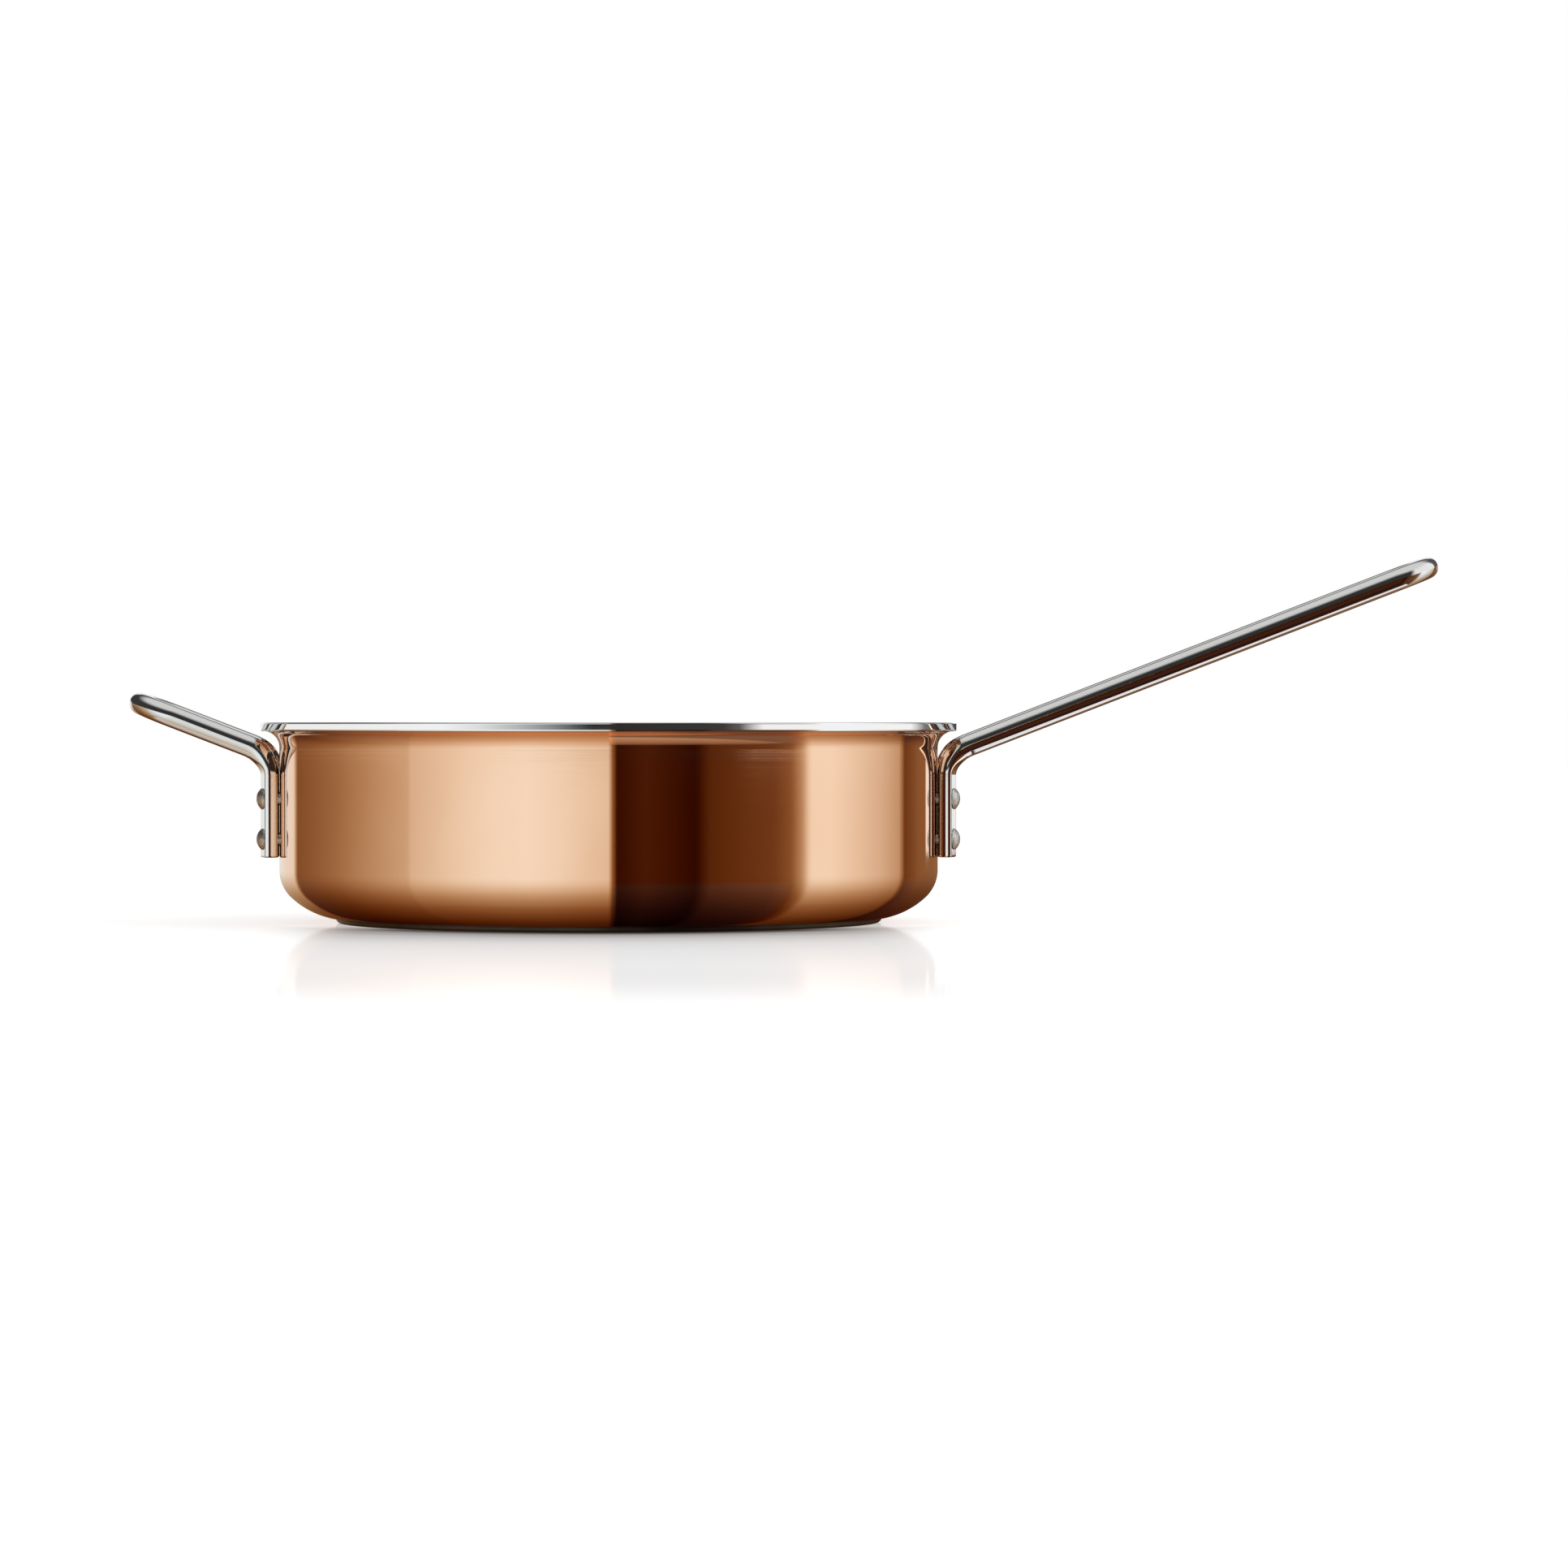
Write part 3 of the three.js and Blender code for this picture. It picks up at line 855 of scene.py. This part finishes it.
# Panels round the pan: turn or heading from the camera's side towards +X in degrees, and level.
LOW_PANELS = (
    (-180.0, 0.90), (-141.0, 0.88), (-137.0, 0.235), (-122.0, 0.29), (-108.0, 0.36), (-97.0, 0.45),
    (-71.8, 0.66), (-70.9, 0.75), (-50.0, 0.90), (-39.0, 0.96), (-26.0, 0.98), (-15.0, 0.935),
    (1.9, 0.825), (3.2, 0.035), (14.0, 0.072), (31.5, 0.03), (36.5, 0.105), (60.0, 0.17),
    (67.0, 0.26), (71.5, 0.53), (75.0, 0.98), (84.0, 0.99), (94.0, 0.91), (110.0, 0.755),
    (122.5, 0.58), (126.5, 0.165), (139.0, 0.27), (180.0, 0.29),
)
# Level by how far a mirror has to lean down to show a place, in degrees.
LOW_FADE = (
    (0.0, 1.0), (5.0, 0.955), (10.0, 0.9), (15.0, 0.81), (20.0, 0.73), (25.0, 0.63), (30.0, 0.55),
    (35.0, 0.48), (40.0, 0.42), (45.0, 0.37), (50.0, 0.28), (55.0, 0.21), (60.0, 0.16),
    (65.0, 0.11), (70.0, 0.08), (90.0, 0.03),
)
RIM_PANELS = (
    (-180.0, 0.90), (-55.0, 0.98), (-42.0, 0.80), (-10.0, 0.10), (-5.0, 0.025), (38.0, 0.045),
    (44.0, 0.12), (52.0, 0.98), (118.0, 1.0), (128.0, 0.20), (150.0, 0.07), (180.0, 0.07),
)
SKY_PANELS = (
    (-180.0, 0.05), (-20.0, 0.035), (38.0, 0.035), (52.0, 0.95), (122.0, 1.0), (130.0, 0.10),
    (180.0, 0.08),
)
OVERHEAD = 0.76
# How far the direction from the pan to the camera's place points to +X.
CAMERA_ACROSS = CAMERA_PLACE[0] / -CAMERA_PLACE[1]
# Power and gain of each colour in the light of the low panels.
WARMTH = {"Red": (1.0, 1.02), "Green": (1.6, 1.15), "Blue": (2.3, 1.27)}
# Where one part of the studio passes into the next, as heights in degrees.
RIM_FROM, RIM_TO = (-0.16, -0.10), (0.25, 0.4)
SKY_FROM = (4.0, 8.0)
OVERHEAD_FROM = (36.0, 64.0)
# A narrow white gap between two panels, from turn to turn and above a height.
GAP_FROM, GAP_TO, GAP_LOW = (146.6, 147.4), (151.0, 151.8), (-1.45, -1.38)
# The white backdrop that metal shows, beyond a heading and between two heights.
BACKDROP_SIDE, BACKDROP_FROM, BACKDROP_TO = (158.0, 166.0), (0.2, 0.6), (26.0, 34.0)
# Dark panels lose some of their warmth where a mirror leans down.
COOL_LEAN, COOL_SHARE, COOL_LEVEL = (4.0, 14.0), 0.2, (0.15, 0.35)

# Low flat lights that face up, each shown by one piece alone.
LOW_LIGHTS = (
    {
        "name": "ring_light", "piece": "pan_copper", "shape": "ELLIPSE",
        "middle": (0.0, 0.0, 0.03), "heading": 0.0, "size": (0.4, 0.4),
        "spread": 130.0, "level": 0.09, "tint": (1.0, 0.8, 0.64),
    },
    {
        "name": "front_light", "piece": "pan_copper", "shape": "RECTANGLE",
        "middle": (0.0601, -0.162, 0.03), "heading": 2.5, "size": (0.114, 0.072),
        "spread": 130.0, "level": 0.17, "tint": (1.0, 0.62, 0.38),
    },
    {
        "name": "long_light", "piece": "pan_long_rod", "shape": "RECTANGLE",
        "middle": (0.28, -0.02, 0.0005), "heading": 0.0, "size": (0.23, 0.06),
        "spread": 180.0, "level": 0.95, "tint": (1.0, 1.0, 1.0),
    },
    {
        "name": "helper_light", "piece": "pan_helper_rod", "shape": "RECTANGLE",
        "middle": (-0.205, -0.02, 0.0005), "heading": 0.0, "size": (0.09, 0.06),
        "spread": 180.0, "level": 0.3, "tint": (0.8, 0.9, 1.0),
    },
)

FLOOR_HALF = 6.0
FLOOR_GLOW = 0.64
# Share and blur of the floor's mirror, and the distances from the axis over which it fades.
MIRROR_SHARE, MIRROR_BLUR, MIRROR_FADE = 0.25, 0.06, (0.43, 0.68)
# Painted shadow of the pan on the floor before it: its level by distance from the pan's axis in
# metres.
PAINTED_CONTACT_SHADOW = (
    (0.1, 0.05), (0.108, 0.12), (0.12, 0.45), (0.15, 0.68), (0.2, 0.86), (0.25, 0.94), (0.35, 1.0),
)
# Where that painted shadow ends, towards the back and beside the pan.
PAINTED_SHADOW_BACK, PAINTED_SHADOW_SIDE = (-0.085, -0.035), (0.085, 0.13)


def levels(place, stops):
    """A level for each place, straight between the stops."""
    low, high = stops[0][0], stops[-1][0]
    ramp = [((at - low) / (high - low), (level, level, level)) for at, level in stops]
    share = (place - low) / (high - low)
    return Signal.node(
        place.tree, "ShaderNodeValToRGB", {"stops": ramp}, {"Fac": share}, output="Color"
    )


def warmed(level):
    """Cool white where a level is high, and a warm brown where it is low."""
    shares = {name: level.math("POWER", power) * gain for name, (power, gain) in WARMTH.items()}
    return Signal.node(level.tree, "ShaderNodeCombineColor", inputs=shares)


def build_world(scene):
    """Studio light: panels round the pan, a pale ceiling above them, and a white backdrop.

    Low panels are set out by the mirror that would show them at the camera's place, which faces
    half way between both: turn = 2 atan2(x + c, 1 - y), and lean = atan2(-z, |(x + c, 1 - y)|).
    At the rim's height and above it, panels are set out by their heading = atan2(x, -y).
    """
    world = bpy.data.worlds.new("studio")
    scene.world = world
    world.use_nodes = True
    tree = world.node_tree
    direction = Signal.node(tree, "ShaderNodeTexCoord", output="Generated")
    x, y, z = parts(tree, direction)
    heading = x.math("ARCTAN2", -y) * math.degrees(1.0)
    height = z.math("ARCSINE") * math.degrees(1.0)
    ahead = 1.0 - y
    across = x + CAMERA_ACROSS
    lean = (-z).math("ARCTAN2", (across * across + ahead * ahead).math("SQRT")) * math.degrees(1.0)
    turn = across.math("ARCTAN2", ahead) * math.degrees(2.0)

    panel = levels(turn, LOW_PANELS)
    level = panel * levels(lean, LOW_FADE)
    cool = lean.step(*COOL_LEAN, 0.0, COOL_SHARE) * panel.step(*COOL_LEVEL, 1.0, 0.0)
    low = cool.mix(warmed(level), level)
    rim = levels(heading, RIM_PANELS)
    sky = levels(heading, SKY_PANELS)
    sky = height.step(*OVERHEAD_FROM).mix(sky, grey(OVERHEAD))
    gap = turn.step(*GAP_FROM) * turn.step(*GAP_TO, 1.0, 0.0) * height.step(*GAP_LOW)
    low = gap.mix(low, grey(1.0))
    at_rim = height.step(*RIM_FROM) * height.step(*RIM_TO, 1.0, 0.0)
    light = height.step(*SKY_FROM).mix(at_rim.mix(low, rim), sky)

    path = Signal.node(tree, "ShaderNodeLightPath", output="Is Camera Ray")
    mirrored = path.other("Is Glossy Ray").math("MAXIMUM", path.other("Is Transmission Ray"))
    behind = heading.math("ABSOLUTE").step(*BACKDROP_SIDE) * height.step(*BACKDROP_FROM)
    behind = behind * height.step(*BACKDROP_TO, 1.0, 0.0)
    shown = path.math("MAXIMUM", mirrored * behind)
    light = shown.mix(light, grey(1.0))
    background = tree.nodes["Background"]
    tree.links.new(light.socket, background.inputs["Color"])
    background.inputs["Strength"].default_value = 1.0


def build_low_light(scene, name, piece, shape, middle, heading, size, spread, level, tint):
    """A flat light that faces up, at a level at which 1 is white, and that only one piece shows."""
    light = bpy.data.lights.new(name, "AREA")
    light.shape = shape
    light.size, light.size_y = size
    light.spread = math.radians(spread)
    light.color = tint
    area = size[0] * size[1] * (math.pi / 4 if shape == "ELLIPSE" else 1.0)
    light.energy = level * math.pi * area
    lamp = bpy.data.objects.new(name, light)
    lamp.location = middle
    lamp.rotation_euler = Euler((math.pi, 0.0, math.radians(heading)))
    lamp.visible_camera = False
    scene.collection.objects.link(lamp)
    shown_by = bpy.data.collections.new(f"{name}_shown_by")
    shown_by.objects.link(bpy.data.objects[piece])
    lamp.light_linking.receiver_collection = shown_by


def floor_finish():
    """Pale floor with its own soft white, a painted shadow before the pan, and a blurred mirror
    near it.
    """
    material = bpy.data.materials.new("pale_floor")
    material.use_nodes = True
    tree = material.node_tree
    shader = tree.nodes["Principled BSDF"]
    shader.inputs["Roughness"].default_value = 1.0
    shader.inputs["Specular IOR Level"].default_value = 0.0
    shader.inputs["Emission Strength"].default_value = FLOOR_GLOW
    place = Signal.node(tree, "ShaderNodeTexCoord", output="Object")
    away = axis_distance(tree, place)
    x, y, _ = parts(tree, place)
    # Painted shadow: the floor's base and emission colours darken before the pan, not beside or
    # behind it.
    clear = y.step(*PAINTED_SHADOW_BACK).math("MAXIMUM", x.math("ABSOLUTE").step(*PAINTED_SHADOW_SIDE))
    shade = clear.mix(levels(away, PAINTED_CONTACT_SHADOW), grey(1.0))
    tree.links.new(shade.socket, shader.inputs["Base Color"])
    tree.links.new(shade.socket, shader.inputs["Emission Color"])
    gloss = Signal.node(
        tree, "ShaderNodeBsdfAnisotropic", inputs={"Color": grey(1.0), "Roughness": MIRROR_BLUR}
    )
    near = away.step(*MIRROR_FADE, MIRROR_SHARE, 0.0)
    mixed = Signal.node(
        tree,
        "ShaderNodeMixShader",
        inputs={"Fac": near, 1: Signal(shader.outputs["BSDF"]), 2: gloss},
    )
    tree.links.new(mixed.socket, tree.nodes["Material Output"].inputs["Surface"])
    return material


class PAN_OT_stage(bpy.types.Operator):
    """Builds the floor, the studio, the camera and the low lights, which need their pieces first"""

    bl_idname = "pan.stage"
    bl_label = "Stage"

    def execute(self, context):
        scene = context.scene
        scene.view_settings.view_transform = "Standard"
        build_world(scene)
        mesh = bpy.data.meshes.new("floor")
        corners = [(-1, -1, 0), (1, -1, 0), (1, 1, 0), (-1, 1, 0)]
        mesh.from_pydata(np.array(corners) * FLOOR_HALF, [], [(0, 1, 2, 3)])
        mesh.materials.append(floor_finish())
        floor = bpy.data.objects.new("floor", mesh)
        scene.collection.objects.link(floor)
        floor.visible_glossy = False
        for light in LOW_LIGHTS:
            build_low_light(scene, **light)
        camera = bpy.data.objects.new("camera", bpy.data.cameras.new("camera"))
        camera.data.lens = CAMERA_LENS
        camera.data.sensor_width = CAMERA_SENSOR
        camera.location = CAMERA_PLACE
        camera.rotation_euler = Euler(
            (math.radians(90.0 - CAMERA_PITCH), 0.0, math.radians(-CAMERA_YAW))
        )
        scene.collection.objects.link(camera)
        scene.camera = camera
        return {"FINISHED"}


class PAN_PT_sidebar(bpy.types.Panel):
    """Lists the pan's pieces and the stage"""

    bl_label = "Pan"
    bl_idname = "PAN_PT_sidebar"
    bl_space_type = "VIEW_3D"
    bl_region_type = "UI"
    bl_category = "Pan"

    def draw(self, context):
        for operator in OPERATORS:
            self.layout.operator(operator.bl_idname)


OPERATORS = (
    PAN_OT_copper,
    PAN_OT_core,
    PAN_OT_lining,
    PAN_OT_base,
    PAN_OT_handles,
    PAN_OT_rivets,
    PAN_OT_stage,
)
GROUPS = {
    "pan_sizes": PanSizes,
    "pan_handles": HandleSizes,
    "pan_rivets": RivetSizes,
    "pan_finishes": Finishes,
}


def register():
    for group in GROUPS.values():
        bpy.utils.register_class(group)
    for name, group in GROUPS.items():
        setattr(bpy.types.Scene, name, PointerProperty(type=group))
    for operator in OPERATORS:
        bpy.utils.register_class(operator)
    bpy.utils.register_class(PAN_PT_sidebar)


def unregister():
    bpy.utils.unregister_class(PAN_PT_sidebar)
    for operator in reversed(OPERATORS):
        bpy.utils.unregister_class(operator)
    for name in GROUPS:
        delattr(bpy.types.Scene, name)
    for group in reversed(GROUPS.values()):
        bpy.utils.unregister_class(group)


def main():
    """Builds everything in order."""
    register()
    bpy.ops.pan.copper()
    bpy.ops.pan.core()
    bpy.ops.pan.lining()
    bpy.ops.pan.base()
    bpy.ops.pan.handles()
    bpy.ops.pan.rivets()
    bpy.ops.pan.stage()


if __name__ == "__main__":
    main()
